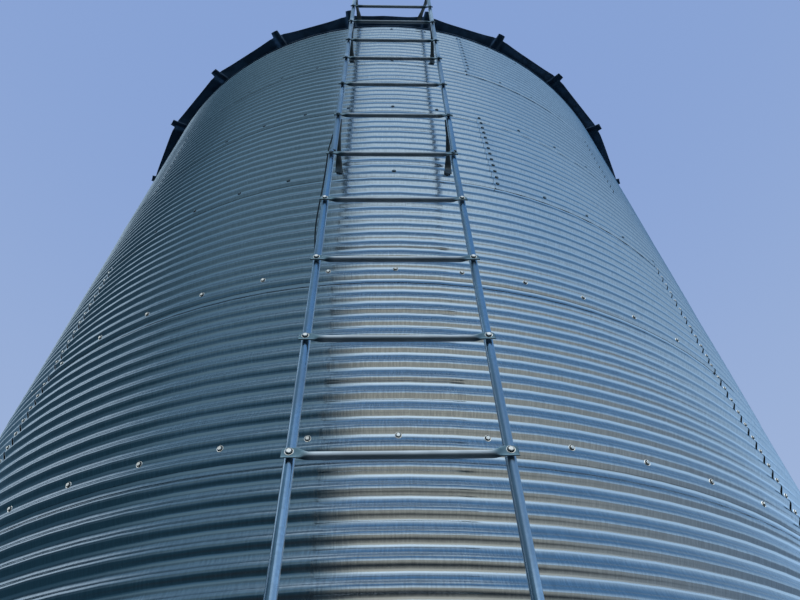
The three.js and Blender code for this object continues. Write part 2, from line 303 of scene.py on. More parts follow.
def lofted(loops, joined=False):
    """A closed mesh through loops of points, capped at both ends or, when joined, closed on itself."""
    loops = np.asarray(loops, dtype=float)
    count, size = loops.shape[:2]
    points = loops.reshape(-1, 3)
    faces = grid_faces(count, size, closed=True)
    last = (count - 1) * size
    if joined:
        for here in range(size):
            beside = (here + 1) % size
            faces.append([last + here, last + beside, beside, here])
    else:
        faces.append(list(range(size))[::-1])
        faces.append(list(range(last, last + size)))
    return points, faces


def sheet_mesh(outer, inner):
    """A closed mesh between two grids of points of the same shape."""
    rows, columns = outer.shape[:2]
    size = rows * columns
    points = np.concatenate([outer.reshape(-1, 3), inner.reshape(-1, 3)])
    faces = grid_faces(rows, columns) + [face[::-1] for face in grid_faces(rows, columns, first=size)]
    rim = list(range(columns))
    rim += [r * columns + columns - 1 for r in range(1, rows)]
    rim += [(rows - 1) * columns + c for c in range(columns - 2, -1, -1)]
    rim += [r * columns for r in range(rows - 2, 0, -1)]
    for k, here in enumerate(rim):
        beside = rim[(k + 1) % len(rim)]
        faces.append([beside, here, here + size, beside + size])
    return points, faces


def joined_meshes(meshes):
    """Several meshes as one."""
    points = []
    faces = []
    first = 0
    for mesh_points, mesh_faces in meshes:
        points.append(mesh_points)
        faces += [[corner + first for corner in face] for face in mesh_faces]
        first += len(mesh_points)
    return np.concatenate(points), faces


def make_piece(name, points_and_faces, material, replaced=(), crease=35):
    """A piece that stands for the CAD nodes it replaces. Its edges are sharp from crease degrees up."""
    points, faces = points_and_faces
    mesh = bpy.data.meshes.new(name)
    mesh.from_pydata(points.tolist(), [], faces)
    mesh.update()
    mesh.shade_smooth()
    mesh.set_sharp_from_angle(angle=math.radians(crease))
    mesh.materials.append(material)
    piece = bpy.data.objects.new(name, mesh)
    bpy.context.scene.collection.objects.link(piece)
    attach(piece, "root")
    if replaced:
        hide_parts(*replaced)
    return piece


def unmirrored(piece):
    """Keep a piece out of the reflections in the bright sheets."""
    piece.visible_glossy = False


# Bolts

def turned_loops(outline):
    """Loops round +Z through (radius, level, how hexagonal). The radius of a hexagon is to its flats."""
    turn = np.radians(np.arange(BOLT_SIDES) * 360.0 / BOLT_SIDES)
    flats = 1 / np.cos((turn % math.radians(60)) - math.radians(30))
    loops = []
    for radius, level, hexagonal in outline:
        reach = radius * (1 + (flats - 1) * hexagonal)
        loop = [reach * np.cos(turn), reach * np.sin(turn), np.full(BOLT_SIDES, level)]
        loops.append(np.stack(loop, axis=-1))
    return loops


def bolt_parts(size=1.0):
    """A hex cap, its neck under it, near-black with painted shade, and the washer's bright rim, with their
    seat at the origin.
    """
    flat = HEX_ACROSS / 2 * size
    rim = WASHER_RADIUS * size
    dish = WASHER_HEIGHT * 0.35 * size
    edge = WASHER_HEIGHT * size
    top = edge + HEX_HEIGHT * size
    cap = [
        (flat * 0.96, top - 0.0026, 0.9), (flat, top - 0.0024, 1), (flat, top - 0.0007, 1),
        (flat * 0.92, top, 0.5),
    ]
    # The neck covers the cap's sides and the washer's dish, and its dark finish is painted shade under the
    # cap
    neck = [
        (rim * 0.90, -0.001, 0), (rim * 0.88, dish, 0), (flat * 0.95, dish, 1),
        (flat * 0.95, top - 0.0025, 0.9),
    ]
    washer = [
        (rim * 0.80, -0.0015, 0), (rim * 0.98, -0.0015, 0), (rim, edge * 0.7, 0), (rim * 0.94, edge, 0),
        (rim * 0.80, dish, 0),
    ]
    return lofted(turned_loops(cap)), lofted(turned_loops(neck)), lofted(turned_loops(washer), joined=True)


def make_bolts(name, places, axes, seed, bolt_materials, size=1.0):
    """Bolts at places, with their caps, necks and washers as three pieces."""
    names = (f"{name}_heads", f"{name}_necks", f"{name}_washers")
    for piece_name, part, material in zip(names, bolt_parts(size), bolt_materials):
        bolts = make_piece(piece_name, placed(part, places, axes, seed), material, crease=30)
        unmirrored(bolts)


def placed(template, places, axes, seed):
    """Copies of a mesh at each place with its +Z along each axis, each turned by its own amount."""
    points, faces = template
    spin = random.Random(seed)
    copies = []
    for place, axis in zip(places, axes):
        axis = Vector(axis).normalized()
        turn = axis.to_track_quat("Z", "Y").to_matrix() @ Matrix.Rotation(spin.uniform(0, math.pi), 3, "Z")
        copies.append((points @ np.array(turn).T + np.array(place), faces))
    return joined_meshes(copies)


# Wall

def wave_turn(height):
    """How far round its wave the sheet is at a height, counted from the trough with the seam's bolts."""
    return 2 * math.pi * (height - SEAM_RISE) / WAVE


def wall_profile(height):
    """Distance from the axis to the sheet's outer face. Its troughs are broader than its crests."""
    turn = wave_turn(height)
    return WALL_RADIUS - WAVE_DEPTH / 2 * (1 + np.cos(turn - TROUGH_BREADTH * np.sin(turn)))


def ring_taper(height, ring):
    """How far a ring is drawn in at a height, so that its top fits inside the foot of the ring above."""
    return 2 * (SHEET + LAP_GAP) * (height / RING_HEIGHT - ring)


def laps_of(ring):
    """Angles of the ring's laps. One sheet, at the back, is narrower than the others."""
    first = LAP_ANGLES[ring]
    past_narrow = first + 360 - 3 * SHEET_ANGLE
    return [first - SHEET_ANGLE, first, first + SHEET_ANGLE, past_narrow, past_narrow + SHEET_ANGLE]


def right_lies_over(lap):
    """At each lap the sheet that is further from the ladder lies over the other."""
    return math.sin(math.radians(lap)) > 0


def dents(angle, height):
    """Shallow dents, which run on from ring to ring, so that their seams stay shut."""
    turn = np.radians(angle)
    return DENTS * (np.sin(9 * turn) * np.cos(7.1 * height) + 0.6 * np.sin(23 * turn + 3.7 * height))


def wall_sheet_mesh(ring, start, end):
    """One sheet of a ring, between two laps. An edge that lies over its neighbour is flared a little."""
    low = ring * RING_HEIGHT - (LAP_BELOW_SEAM if ring else 0)
    high = (ring + 1) * RING_HEIGHT + (LAP_ABOVE_SEAM if ring < RING_COUNT - 1 else -SEAT_GAP)
    rows = int(round((high - low) / WAVE * ROWS_PER_WAVE)) + 1
    start_over = right_lies_over(start)
    end_over = not right_lies_over(end)
    if not start_over:
        start -= SIDE_LAP_ANGLE
    if not end_over:
        end += SIDE_LAP_ANGLE
    angles = np.linspace(start, end, int(round((end - start) / SHEET_STEP)) + 1)
    angles = np.insert(angles, [1, -1], [start + EDGE_FLARE_ANGLE, end - EDGE_FLARE_ANGLE])
    angle, height = np.meshgrid(angles, np.linspace(low, high, rows))
    over = np.interp(angle, [start, end], [float(start_over), float(end_over)])
    flared = (angle == start) & start_over | (angle == end) & end_over
    radius = wall_profile(height) - ring_taper(height, ring) + (SHEET + LAP_GAP) * over
    radius += EDGE_FLARE * flared * np.clip(np.sin(wave_turn(height)), 0, 1) + dents(angle, height)
    outer = on_silo(angle, radius, height)
    inner = on_silo(angle, radius - SHEET, height)
    return sheet_mesh(outer, inner)


def make_wall_ring(ring, material):
    laps = laps_of(ring)
    ends = laps[1:] + [laps[0] + 360]
    sheets = [wall_sheet_mesh(ring, start, end) for start, end in zip(laps, ends)]
    node = f"wall_ring_{ring + 1}"
    make_piece(f"ring_{ring + 1}_sheets", joined_meshes(sheets), material, [node], crease=60)


def make_wall_bolts(ring, bolt_materials):
    """Bolts of the seam at the ring's foot and of its laps. They lean down with the side of the trough."""
    trough = WALL_RADIUS - WAVE_DEPTH + BOLT_SEAT
    seams = [ring * RING_HEIGHT if ring else WAVE]
    if ring == RING_COUNT - 1:
        seams.append(WALL_TOP - WAVE)
    spots = []
    for seam in seams:
        for k in range(BOLTS_PER_SEAM):
            spots.append((BOLT_PHASE + k * 360 / BOLTS_PER_SEAM, trough, seam + BOLT_RISE))
    for lap in laps_of(ring):
        angle = lap + LAP_BOLT_ANGLE if right_lies_over(lap) else lap - LAP_BOLT_ANGLE
        for wave in range(1, WAVES_PER_RING):
            height = ring * RING_HEIGHT + wave * WAVE + BOLT_RISE
            spots.append((angle, trough + SHEET - ring_taper(height, ring), height))
    places = [on_silo(*spot) for spot in spots]
    lean = Vector((0, 0, -math.sin(BOLT_TILT)))
    axes = [outward_at(angle) * math.cos(BOLT_TILT) + lean for angle, _, _ in spots]
    make_bolts(f"ring_{ring + 1}_bolt", places, axes, ring, bolt_materials)


def turned_ring(outline, steps=144):
    """A ring turned round the silo's axis from a closed outline of (distance, height) points."""
    angles = np.linspace(0, 360, steps, endpoint=False)
    loops = [[on_silo(angle, *point) for point in reversed(outline)] for angle in angles]
    return lofted(loops, joined=True)


def rounded_corner(before, corner, after, reach, steps=CORNER_STEPS):
    """Points of the curve that rounds a corner, from reach before it to reach after it."""
    start = corner + (before - corner).normalized() * reach
    end = corner + (after - corner).normalized() * reach
    shares = [step / steps for step in range(steps + 1)]
    return [start * (1 - s) ** 2 + corner * 2 * s * (1 - s) + end * s ** 2 for s in shares]


def rounded_outline(corners, radius, steps):
    """A closed outline with each of its corners rounded."""
    corners = [Vector(corner) for corner in corners]
    outline = []
    for k, corner in enumerate(corners):
        before = corners[k - 1]
        after = corners[(k + 1) % len(corners)]
        reach = min(radius, 0.45 * (before - corner).length, 0.45 * (after - corner).length)
        outline += rounded_corner(before, corner, after, reach, steps)
    return outline


def make_base_ring(material):
    outer = WALL_RADIUS - WAVE_DEPTH - SHEET - 0.001
    leg = 0.060
    thick = 0.006
    corners = [
        (outer - leg, 0), (outer, 0), (outer, leg), (outer - thick, leg),
        (outer - thick, thick), (outer - leg, thick),
    ]
    outline = rounded_outline(corners, 0.002, steps=2)
    make_piece("rolled_base_angle", turned_ring(outline), material, ["base_ring"])


def panel_underside(radius):
    return WALL_TOP + EAVE_LIFT + (WALL_RADIUS - radius) * math.tan(ROOF_SLOPE)


def make_eave_ring(material):
    low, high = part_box("eave_ring")
    top = high.z - 0.001
    width = 0.0125
    fall = 0.0075
    inner = WALL_RADIUS - width
    corners = [(inner, low.z), (WALL_RADIUS, low.z), (WALL_RADIUS, top - fall), (inner, top)]
    outline = rounded_outline(corners, 0.003, steps=3)
    piece = make_piece("rolled_eave_angle", turned_ring(outline), material, ["eave_ring"])
    unmirrored(piece)


# Roof

def rib_section(share):
    """Half of a rib across the slope, from its top down to its foot, as (sideways, up) points."""
    height = between(RIB_HEIGHT, share)
    half_foot = between(RIB_HALF_FOOT, share)
    top = Vector((0, height))
    shoulder = Vector((between(RIB_HALF_TOP, share), height))
    foot = Vector((half_foot, 0))
    beside = Vector((half_foot + 0.05, 0))
    points = [top]
    for before, corner, after, size in (
        (top, shoulder, foot, RIB_TOP_ROUND), (shoulder, foot, beside, RIB_FOOT_FILLET),
    ):
        reach = min(size, 0.9 * (corner - before).length, 0.9 * (after - corner).length)
        points += rounded_corner(before, corner, after, reach)
    return points


def sector_columns(first_rib):
    """Across a sector: (angle of the rib, side of it, index into the rib's half section or panel share)."""
    columns = []
    half = len(rib_section(0)) - 1
    for k in range(RIBS_PER_SECTOR):
        rib = first_rib + k
        columns += [(rib - 1, 1, half, step / PANEL_COLUMNS) for step in range(PANEL_COLUMNS)]
        columns += [(rib, -1, index, 0.0) for index in range(half, 0, -1)]
        columns += [(rib, 1, index, 0.0) for index in range(half)]
    columns.append((first_rib + RIBS_PER_SECTOR - 1, 1, half, 0.0))
    return columns


def rib_place(rib, sideways, radius, lift, drop):
    """A point of the roof beside a rib's middle line. drop is how far it lies below the upper face."""
    angle = RIB_PHASE + rib * RIB_STEP
    flat = outward_at(angle) * radius + round_at(angle) * sideways
    return Vector((flat.x, flat.y + AXIS_Y, panel_underside(radius) + PANEL_THICKNESS + lift - drop))


def eave_lift(rib, across, radius, share):
    """How far a panel turns up at the eave: beside its ribs, and over the ladder between them too."""
    beside_rib = min(across, 1 - across) * math.radians(RIB_STEP) * radius
    lift = FLARE_RISE * max(0.0, 1 - beside_rib / FLARE_REACH) ** 2
    if rib == LADDER_PANEL:
        lift += LADDER_BOW * max(0.0, 1 - abs(across - LADDER_BOW_MIDDLE) / LADDER_BOW_MIDDLE)
    return lift * max(0.0, 1 - share / FLARE_LENGTH) ** 2


def roof_surface(first_rib, drop):
    """The upper face of the roof sheet over one sector, or a face that lies drop below it."""
    rows = []
    for row in range(SLOPE_ROWS):
        share = (row / (SLOPE_ROWS - 1)) ** 1.5
        section = rib_section(share)
        foot = section[-1]
        line = []
        for rib, side, index, across in sector_columns(first_rib):
            point = section[index]
            reach = RIB_TIP if index < RIB_TOP_POINTS else PANEL_EDGE
            radius = reach + (PEAK_RADIUS - reach) * share
            place = rib_place(rib, side * point.x, radius, point.y, drop)
            if across:
                other = rib_place(rib + 1, -foot.x, radius, foot.y, drop)
                place = place.lerp(other, across)
            place.z += eave_lift(rib, across, radius, share)
            line.append(place)
        rows.append(line)
    return np.array(rows)


def make_roof(material, underside):
    """Panels whose underside and edges are darker than their upper face, with painted shade."""
    for sector in range(RIB_COUNT // RIBS_PER_SECTOR):
        first = sector * RIBS_PER_SECTOR
        upper = roof_surface(first, 0)
        sheet = sheet_mesh(upper, roof_surface(first, ROOF_SHEET))
        name = f"roof_panels_{sector + 1}"
        panels = make_piece(name, sheet, material, [f"roof_sector_{sector + 1}"])
        panels.data.materials.append(underside)
        upper_faces = (upper.shape[0] - 1) * (upper.shape[1] - 1)
        for face in panels.data.polygons[upper_faces:]:
            face.material_index = 1
        unmirrored(panels)


def make_peak(material):
    low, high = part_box("peak_collar")
    outer = (high.x - low.x) / 2
    inner = outer - 0.003
    rim = 0.004
    collar = [
        (inner, low.z), (outer, low.z), (outer, high.z - 2 * rim),
        (outer, high.z - rim), (outer - rim, high.z), (outer - 2 * rim, high.z - rim),
        (outer - rim, high.z - 2 * rim), (inner, high.z - 3 * rim),
    ]
    make_piece("filling_collar", turned_ring(collar, 96), material, ["peak_collar"])
    low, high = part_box("peak_lid")
    radius = (high.x - low.x) / 2
    edge = radius - LID_EDGE
    inner = radius - 2 * LID_EDGE
    skirt = low.z + LID_SKIRT
    crown = high.z - LID_EDGE
    outline = [(LID_TIP, high.z), (LID_CROWN, crown)]
    for row in range(1, LID_ROWS):
        share = row / LID_ROWS
        height = crown - (crown - LID_EDGE - skirt) * share
        wave = LID_WAVE_DEPTH * (1 + math.sin(row * LID_WAVE_TURN))
        outline.append((LID_CROWN + (radius - rim - LID_CROWN) * share, height - wave))
    outline += [
        (edge, skirt), (radius, skirt - rim), (radius, low.z + rim), (edge, low.z),
        (inner, low.z + rim), (inner, skirt - 2 * LID_EDGE), (LID_TIP, high.z - LID_SHEET),
    ]
    angles = np.linspace(0, 360, 96, endpoint=False)
    loops = [[on_silo(-angle, distance, height) for angle in angles] for distance, height in outline]
    make_piece("pressed_lid", lofted(loops), material, ["peak_lid"])


# Ladder

def rail_x(side, height):
    if height < RAIL_SPLICE:
        return between(LOWER_RAIL_X[side], (height - RAIL_FOOT) / (RAIL_SPLICE - RAIL_FOOT))
    return between(UPPER_RAIL_X[side], (height - RAIL_SPLICE) / (RAIL_HEAD - RAIL_SPLICE))


def round_section(center, wide, deep, half_wide, half_deep, power, count=24):
    """A loop between an ellipse, at power 2, and a rounded rectangle, at a high power."""
    turn = np.linspace(0, 2 * math.pi, count, endpoint=False) + math.pi / count
    c, s = np.cos(turn), np.sin(turn)
    across = np.sign(c) * np.abs(c) ** (2 / power) * half_wide
    through = np.sign(s) * np.abs(s) ** (2 / power) * half_deep
    return np.array(center) + np.outer(across, np.array(wide)) + np.outer(through, np.array(deep))


def open_tube(start, end, radius, wall):
    """A straight tube with open ends."""
    along = (end - start).normalized()
    wide = along.orthogonal().normalized()
    deep = along.cross(wide)
    bevel = 0.0006
    inner = radius - wall
    stations = [
        (start, radius - bevel), (start + along * bevel, radius),
        (end - along * bevel, radius), (end, radius - bevel),
        (end, inner + bevel), (end - along * bevel, inner),
        (start + along * bevel, inner), (start, inner + bevel),
    ]
    loops = [round_section(place, wide, deep, size, size, 2) for place, size in stations]
    return lofted(loops, joined=True)


def make_rails(material):
    for side in SIDES:
        foot = Vector((rail_x(side, RAIL_FOOT), LADDER_Y, RAIL_FOOT))
        lower_top = Vector((LOWER_RAIL_X[side][1], LADDER_Y, RAIL_SPLICE))
        upper_foot = Vector((UPPER_RAIL_X[side][0], LADDER_Y, RAIL_SPLICE + SEAT_GAP))
        head = Vector((rail_x(side, RAIL_HEAD), LADDER_Y, RAIL_HEAD))
        for part, start, end in (("lower", foot, lower_top), ("upper", upper_foot, head)):
            tube = open_tube(start, end, RAIL_RADIUS, RAIL_WALL)
            node = f"ladder_rail_{part}_{side}"
            rail = make_piece(f"{part}_rail_tube_{side}", tube, material, [node])
            if part == "lower":
                unmirrored(rail)


def flat_end_stations():
    """(distance from the end, half height, half thickness, power, share flattened), edge first."""
    half = RUNG_TAB_HALF
    thin = TAB_THICKNESS / 2
    return [
        (0.0000, half * 0.60, thin * 0.55, 3.0, 1.0),
        (0.0008, half * 0.76, thin * 0.90, 3.5, 1.0),
        (0.0030, half * 0.91, thin, 5.0, 1.0),
        (0.0065, half * 0.98, thin, 6.0, 1.0),
        (0.0120, half, thin, 6.0, 1.0),
        (0.0300, half, thin, 6.0, 1.0),
        (0.0350, half * 0.98, thin * 1.12, 5.0, 0.94),
        (0.0400, half * 0.94, thin * 1.55, 3.6, 0.80),
        (0.0450, half * 0.88, thin * 2.20, 2.7, 0.58),
        (0.0505, half * 0.80, thin * 3.00, 2.3, 0.34),
        (0.0565, half * 0.71, thin * 3.70, 2.1, 0.14),
        (0.0640, RUNG_RADIUS, RUNG_RADIUS, 2.0, 0.0),
    ]


def rung_end_loop(x, y, height, station):
    """One loop of a rung. Its underside runs straight on, and its flat ends curl forwards at the foot."""
    _, half_high, half_deep, power, flat = station
    level = height - TUBE_RADIUS + half_high + RUNG_TAB_LIFT * flat
    loop = round_section((x, y, level), UP, AHEAD, half_high, half_deep, power, count=36)
    below = np.clip((level - loop[:, 2]) / half_high, 0, 1)
    loop[:, 1] -= RUNG_LIP * flat * below ** 2.6
    return loop


def rung_mesh(height):
    y = LADDER_Y - RAIL_RADIUS - SEAT_GAP - TAB_THICKNESS / 2
    left = rail_x("left", height) - RUNG_PAST_RAIL
    right = rail_x("right", height) + RUNG_PAST_RAIL
    stations = flat_end_stations()
    loops = [rung_end_loop(left + station[0], y, height, station) for station in stations]
    loops += [rung_end_loop(right - station[0], y, height, station) for station in reversed(stations)]
    return lofted(loops)


def make_rungs(material):
    for k, height in enumerate(RUNG_HEIGHTS):
        node = f"ladder_rung_{k + 1}"
        make_piece(f"rung_tube_{k + 1}", rung_mesh(height), material, [node], crease=50)


def make_rung_bolts(bolt_materials):
    """Bolts through the rungs' ends, with their nuts behind the rails. The upper ones are duller."""
    front = LADDER_Y - RAIL_RADIUS - SEAT_GAP - TAB_THICKNESS
    back = LADDER_Y + RAIL_RADIUS
    heights = {"lower": RUNG_HEIGHTS[:DULL_RUNGS_FROM], "upper": RUNG_HEIGHTS[DULL_RUNGS_FROM:]}
    for part, metals in bolt_materials.items():
        spots = [(rail_x(side, z), z + RUNG_BOLT_RISE) for z in heights[part] for side in SIDES]
        caps = [(x, front, z) for x, z in spots]
        nuts = [(x, back, z) for x, z in spots]
        make_bolts(f"rung_bolt_{part}", caps, [AHEAD] * len(caps), 20, metals, size=RUNG_BOLT_SIZE)
        make_bolts(f"rung_nut_{part}", nuts, [-AHEAD] * len(nuts), 21, metals)


def bent_bar(points, wides, shapes, count=24):
    """A bar through points. Each has the bar's wide direction, its half sizes and its power there."""
    loops = []
    for k, (place, wide, shape) in enumerate(zip(points, wides, shapes)):
        before = points[max(k - 1, 0)]
        after = points[min(k + 1, len(points) - 1)]
        along = (after - before).normalized()
        wide = (wide - along * wide.dot(along)).normalized()
        loops.append(round_section(place, wide, along.cross(wide), *shape, count=count))
    return lofted(loops)


def strut_mesh(head_top, head_bend, foot_bend, foot_end, foot_wide):
    """A tube strut: flat at the head, round between its bends, flat again at the foot."""
    flat = (STRUT_TAB_HALF, TAB_THICKNESS / 2, 6.0)
    edge = (STRUT_TAB_HALF * 0.8, TAB_THICKNESS / 2 * 0.8, 4.0)
    saddle = (STRUT_TAB_HALF * 0.92, TAB_THICKNESS * 1.1, 2.8)
    tube = (TUBE_RADIUS, TUBE_RADIUS, 2.0)
    down = (head_bend - head_top).normalized()
    along = (foot_bend - head_bend).normalized()
    out = (foot_end - foot_bend).normalized()
    step = along * STRUT_BEND
    points = [
        head_top, head_top + down * 0.003, head_bend - down * STRUT_BEND * 0.6,
        head_bend + step * 0.4, head_bend + step * 1.6, head_bend + step * 3,
        foot_bend - step * 3, foot_bend - step * 1.6, foot_bend - step * 0.4,
        foot_bend + out * STRUT_BEND * 0.6, foot_end - out * 0.003, foot_end,
    ]
    shapes = [edge, flat, flat, flat, saddle, tube, tube, saddle, flat, flat, flat, edge]
    wides = [ACROSS] * 6 + [foot_wide] * 6
    return bent_bar(points, wides, shapes)


def strut_head(side, height):
    """The top and the bend of a strut's flat end, which lies behind the rail."""
    y = LADDER_Y + RAIL_RADIUS + SEAT_GAP + TAB_THICKNESS / 2
    head = Vector((rail_x(side, height), y, height))
    return head + UP * STRUT_HEAD_TAB / 2, head - UP * (STRUT_HEAD_TAB / 2 - 0.02)


def make_wall_struts(material):
    for seam in STRUT_SEAMS:
        for side in SIDES:
            head_top, head_bend = strut_head(side, RUNG_HEIGHTS[2 * seam - 1])
            angle = math.degrees(math.asin(head_top.x / WALL_RADIUS))
            reach = WALL_RADIUS + 2 * SHEET + TAB_THICKNESS / 2
            foot_height = seam * RING_HEIGHT + STRUT_FOOT_RISE
            foot = outward_at(angle) * reach + Vector((0, AXIS_Y, foot_height))
            foot_bend = foot + UP * (STRUT_FOOT_TAB / 2 - 0.012)
            foot_end = foot - UP * STRUT_FOOT_TAB / 2
            mesh = strut_mesh(head_top, head_bend, foot_bend, foot_end, round_at(angle))
            node = f"ladder_strut_{seam}_{side}"
            make_piece(f"wall_strut_{seam}_{side}", mesh, material, [node], crease=50)


def make_eave_struts(material):
    panel_angle = RIB_PHASE + RIB_STEP / 2
    outward = outward_at(panel_angle)
    up_slope = UP * math.sin(ROOF_SLOPE) - outward * math.cos(ROOF_SLOPE)
    distance = WALL_RADIUS + EAVE_STRUT_OVERHANG
    for side in SIDES:
        node = f"eave_strut_{side}"
        low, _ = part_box(node)
        x = EAVE_STRUT_FOOT_X[side]
        y = AXIS_Y + (distance - outward.x * x) / outward.y
        foot = Vector((x, y, low.z + 0.014))
        foot_bend = foot - up_slope * 0.016 + UP * 0.001
        foot_end = foot + up_slope * 0.016
        head_top, head_bend = strut_head(side, RUNG_HEIGHTS[-1])
        mesh = strut_mesh(head_top, head_bend, foot_bend, foot_end, round_at(panel_angle))
        make_piece(f"eave_strut_tube_{side}", mesh, material, [node], crease=50)


# Cord

def smooth_curve(points, per_leg):
    """A smooth curve through points."""
    route = [Vector(point) for point in points]
    route = [route[0] * 2 - route[1]] + route + [route[-1] * 2 - route[-2]]
    curve = []
    for a, b, c, d in zip(route, route[1:], route[2:], route[3:]):
        for step in range(per_leg):
            t = step / per_leg
            turned = (2 * a - 5 * b + 4 * c - d) * t ** 2 + (3 * b - a - 3 * c + d) * t ** 3
            curve.append(0.5 * (2 * b + (c - a) * t + turned))
    curve.append(Vector(points[-1]))
    return curve


def cord_run(points):
    """The cord's tube along its route."""
    curve = smooth_curve(points, CORD_SECTIONS // (len(points) - 1))
    shape = (CORD_RADIUS, CORD_RADIUS, 2)
    return bent_bar(curve, [ACROSS] * len(curve), [shape] * len(curve), count=CORD_SIDES)


def cord_tie(height):
    """The cord's turns round the left rail."""
    center = Vector((rail_x("left", height), LADDER_Y, height))
    radius = RAIL_RADIUS + CORD_RADIUS
    loops = []
    steps = 28 * CORD_TIE_TURNS
    for k in range(steps + 1):
        turns = CORD_TIE_TURNS * k / steps
        outward = round_at(360 * turns)
        level = (turns - CORD_TIE_TURNS / 2) * CORD_TIE_PITCH
        place = center + outward * radius + UP * level
        loops.append(round_section(place, outward, UP, CORD_RADIUS, CORD_RADIUS, 2, count=CORD_SIDES))
    return lofted(loops)


def make_cord(material):
    route = [(rail_x("left", z) - beside, LADDER_Y + behind, z) for z, beside, behind in CORD_ROUTE]
    parts = [cord_run(route), cord_tie(CORD_ROUTE[0][0]), cord_tie(CORD_ROUTE[-1][0])]
    make_piece("braided_cord", joined_meshes(parts), material, ["ladder_cord"])


# Materials

class Nodes:
    """Short calls for adding and linking the nodes of one tree."""

    def __init__(self, tree):
        self.tree = tree

    def add(self, kind, links=None, **settings):
        node = self.tree.nodes.new(f"ShaderNode{kind}")
        for key, value in settings.items():
            setattr(node, key, value)
        for socket, source in (links or {}).items():
            self.feed(node.inputs[socket], source)
        return node

    def feed(self, socket, source):
        if isinstance(source, bpy.types.NodeSocket):
            self.tree.links.new(source, socket)
        else:
            socket.default_value = source

    def math(self, operation, a, b=0.0, c=0.0):
        return self.add("Math", {0: a, 1: b, 2: c}, operation=operation).outputs[0]

    def ramp(self, value, low, high, to_low=0.0, to_high=1.0):
        links = {"Value": value, "From Min": low, "From Max": high, "To Min": to_low, "To Max": to_high}
        return self.add("MapRange", links, interpolation_type="SMOOTHSTEP").outputs["Result"]

    def mix(self, factor, a, b):
        return self.add("Mix", {0: factor, 6: a, 7: b}, data_type="RGBA").outputs[2]

    def noise(self, vector, scale, detail=3.0, roughness=0.5):
        links = {"Vector": vector, "Scale": scale, "Detail": detail, "Roughness": roughness}
        return self.add("TexNoise", links).outputs["Fac"]


def new_group(name, inputs):
    """A shader node group and its inputs, given as name: (kind, start value)."""
    group = bpy.data.node_groups.new(name, "ShaderNodeTree")
    for socket, (kind, value) in inputs.items():
        made = group.interface.new_socket(socket, in_out="INPUT", socket_type=f"NodeSocket{kind}")
        if value is not None:
            made.default_value = value
    return group, Nodes(group), group.nodes.new("NodeGroupInput").outputs


def give_out(group, n, outputs):
    """Give a group its outputs, as name: (kind, source)."""
    for socket, (kind, _) in outputs.items():
        group.interface.new_socket(socket, in_out="OUTPUT", socket_type=f"NodeSocket{kind}")
    out = group.nodes.new("NodeGroupOutput")
    for socket, (_, source) in outputs.items():
        n.feed(out.inputs[socket], source)
    return group


def wall_map_group():
    """A place on the wall round it and up it, how near a trough's painted highlight line it is, and its
    ring's shade.
    """
    group, n, _ = new_group("wall_map", {})
    place = n.add("SeparateXYZ", {"Vector": n.add("TexCoord").outputs["Object"]})
    depth = n.math("SUBTRACT", AXIS_Y, place.outputs["Y"])
    turn = n.math("ARCTAN2", place.outputs["X"], depth)
    arc = n.math("MULTIPLY", turn, WALL_RADIUS)
    along = n.add("CombineXYZ", {"X": arc, "Z": place.outputs["Z"]})
    raised = n.math("SUBTRACT", place.outputs["Z"], SEAM_RISE + TROUGH_HIGHLIGHT_RISE)
    near = n.math("COSINE", n.math("MULTIPLY", raised, 2 * math.pi / WAVE))
    lapped = n.math("ADD", place.outputs["Z"], LAP_BELOW_SEAM)
    ring = n.math("FLOOR", n.math("DIVIDE", lapped, RING_HEIGHT))
    shade = n.add("TexWhiteNoise", {"W": n.math("ADD", ring, RING_SHADE_SEED)}, noise_dimensions="1D")
    return give_out(group, n, {
        "Along": ("Vector", along.outputs[0]),
        "Trough Highlight": ("Float", n.ramp(near, 0.86, 0.97)),
        "Ring Shade": ("Float", shade.outputs["Value"]),
    })


def spangle_group():
    """Zinc crystals: a value for each crystal, and its fine grain."""
    group, n, given = new_group("zinc_spangle", {"Vector": ("Vector", None), "Size": ("Float", 0.012)})
    wobble = n.add("TexNoise", {"Vector": given["Vector"], "Scale": 90.0, "Detail": 2.0})
    shift = n.add("VectorMath", {0: wobble.outputs["Color"], "Scale": 0.006}, operation="SCALE")
    place = n.add("VectorMath", {0: given["Vector"], 1: shift.outputs[0]}, operation="ADD")
    scale = n.math("DIVIDE", 1.0, given["Size"])
    cells = n.add("TexVoronoi", {"Vector": place.outputs[0], "Scale": scale})
    shade = n.add("SeparateColor", {"Color": cells.outputs["Color"]}).outputs[0]
    grain = n.noise(given["Vector"], 900.0, detail=2.0)
    return give_out(group, n, {"Shade": ("Float", shade), "Grain": ("Float", grain)})


def blotch_group():
    """Soft uneven patches, stretched along the given axes by the vector that goes in."""
    group, n, given = new_group("weather_patches", {
        "Vector": ("Vector", None), "Scale": ("Float", 3.0), "Low": ("Float", 0.4), "High": ("Float", 0.6),
    })
    cloud = n.noise(given["Vector"], given["Scale"], detail=5.0, roughness=0.6)
    return give_out(group, n, {"Mask": ("Float", n.ramp(cloud, given["Low"], given["High"]))})


def use_group(n, group, links):
    node = n.tree.nodes.new("ShaderNodeGroup")
    node.node_tree = group
    for socket, source in links.items():
        n.feed(node.inputs[socket], source)
    return node


def stretched(n, vector, scale):
    return n.add("VectorMath", {0: vector, 1: scale}, operation="MULTIPLY").outputs[0]


def new_material(name, color, metallic, roughness):
    material = bpy.data.materials.new(name)
    material.use_nodes = True
    shader = material.node_tree.nodes["Principled BSDF"]
    shader.inputs["Base Color"].default_value = (*color, 1)
    shader.inputs["Metallic"].default_value = metallic
    shader.inputs["Roughness"].default_value = roughness
    return material, Nodes(material.node_tree), shader


def bump(n, shader, height, strength, distance):
    links = {"Height": height, "Strength": strength, "Distance": distance}
    n.feed(shader.inputs["Normal"], n.add("Bump", links).outputs["Normal"])


